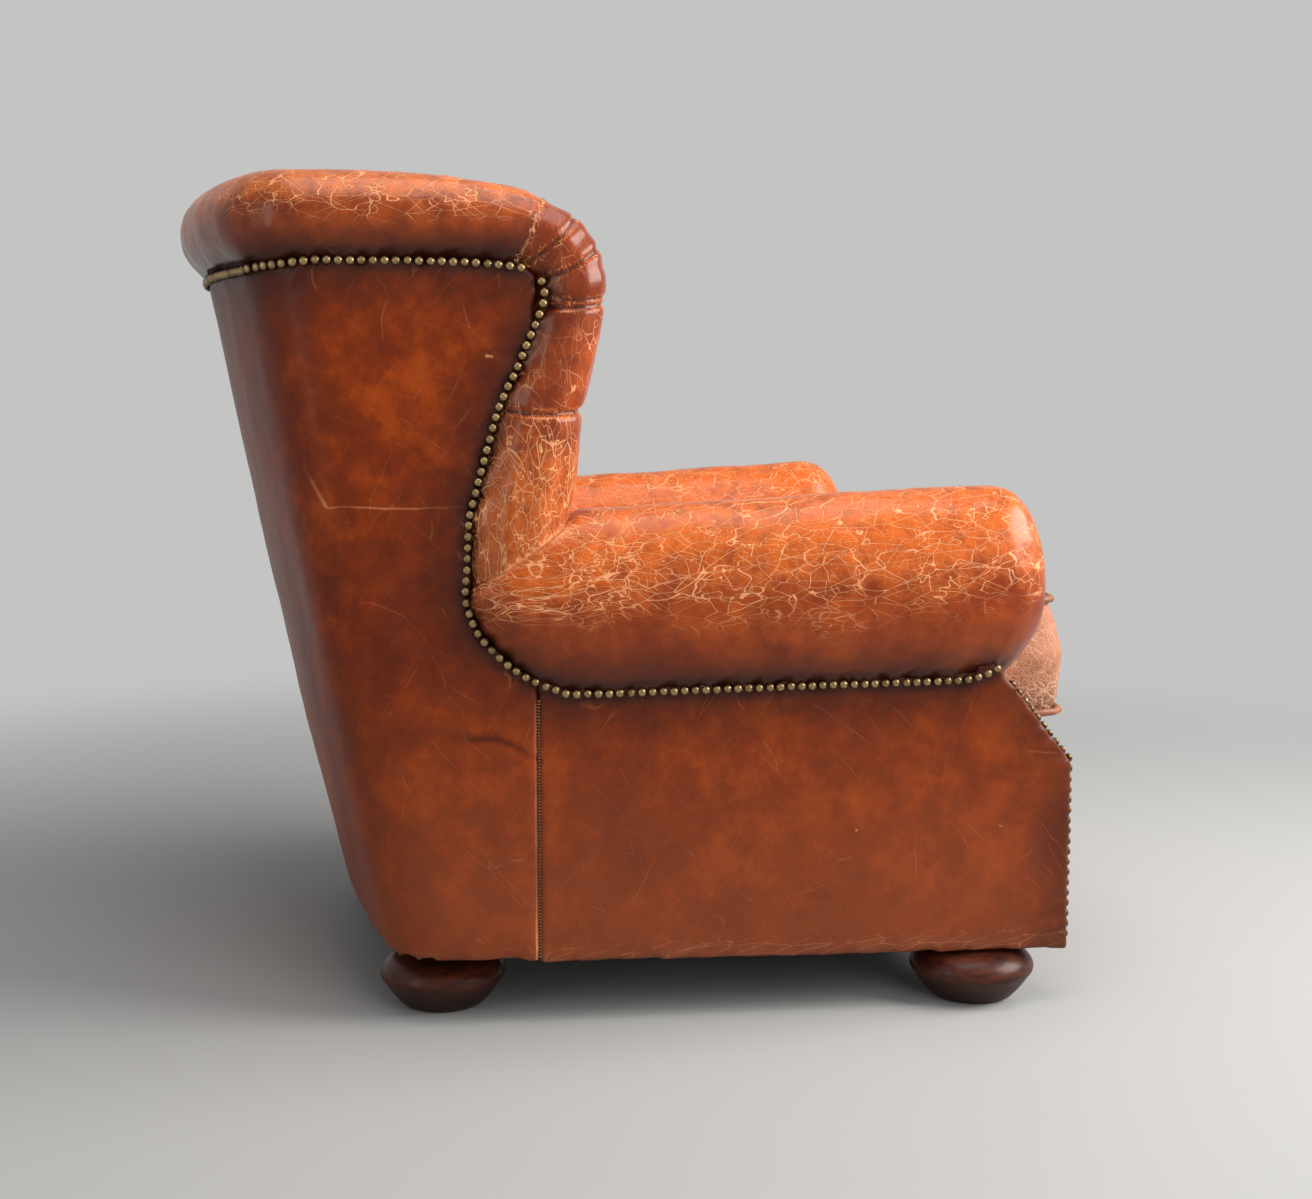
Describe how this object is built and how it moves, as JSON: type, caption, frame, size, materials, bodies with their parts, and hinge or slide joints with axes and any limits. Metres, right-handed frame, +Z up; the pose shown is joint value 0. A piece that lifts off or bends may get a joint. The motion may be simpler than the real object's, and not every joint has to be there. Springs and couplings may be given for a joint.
{
  "type": "wing-back club chair",
  "caption": "Low wing-back club chair in worn cracked brown leather, with fat rolled arms and wings, nail-head trim, a loose seat cushion and turned bun feet.",
  "frame": {"origin": "on the floor at the middle of the chair's box", "axes": "+Z up, the chair faces -Y, +X is the sitter's left"},
  "size_m": [0.831, 1.0182, 0.908],
  "materials": {
    "worn_leather": "glossy, cracked, with a pale network where the finish is lost",
    "panel_leather": "semi-gloss, mottled and scratched",
    "cushion_leather": "matte, rubbed",
    "frame_timber": "plain sawn hardwood",
    "stained_wood": "dark stain, semi-gloss",
    "spring_steel": "plain wire",
    "dust_cloth": "matte woven",
    "antique_brass": "darkened, with bright tops"
  },
  "bodies": {
    "root": {"arm_facing_left": "panel_leather", "arm_facing_right": "panel_leather", "arm_rail_left": "frame_timber", "arm_rail_right": "frame_timber", "arm_roll_left": "worn_leather", "arm_roll_right": "worn_leather", "corner_block_front_left": "frame_timber", "corner_block_front_right": "frame_timber", "corner_block_rear_left": "frame_timber", "corner_block_rear_right": "frame_timber", "cushion_welt_lower": "worn_leather", "cushion_welt_upper": "worn_leather", "dust_cloth": "dust_cloth", "foot_front_left": "stained_wood", "foot_front_right": "stained_wood", "foot_rear_left": "stained_wood", "foot_rear_right": "stained_wood", "front_border": "panel_leather", "front_post_left": "frame_timber", "front_post_right": "frame_timber", "front_rail": "frame_timber", "inside_arm_left": "worn_leather", "inside_arm_right": "worn_leather", "inside_back": "worn_leather", "inside_wing_left": "worn_leather", "inside_wing_right": "worn_leather", "lumbar_rail": "frame_timber", "nail_row_facing_left": "antique_brass", "nail_row_facing_right": "antique_brass", "nail_row_side_left": "antique_brass", "nail_row_side_right": "antique_brass", "nail_row_top": "antique_brass", "outside_arm_left": "panel_leather", "outside_arm_right": "panel_leather", "rear_cover": "panel_leather", "rear_post_left": "frame_timber", "rear_post_right": "frame_timber", "rear_rail": "frame_timber", "seat_cushion": "cushion_leather", "seat_deck": "cushion_leather", "seat_spring_1": "spring_steel", "seat_spring_2": "spring_steel", "seat_spring_3": "spring_steel", "seat_spring_4": "spring_steel", "side_rail_left": "frame_timber", "side_rail_right": "frame_timber", "spring_rail": "frame_timber", "top_rail": "frame_timber", "top_roll": "worn_leather", "wing_board_left": "frame_timber", "wing_board_right": "frame_timber", "wing_roll_left": "worn_leather", "wing_roll_right": "worn_leather"}
  },
  "joints": []
}
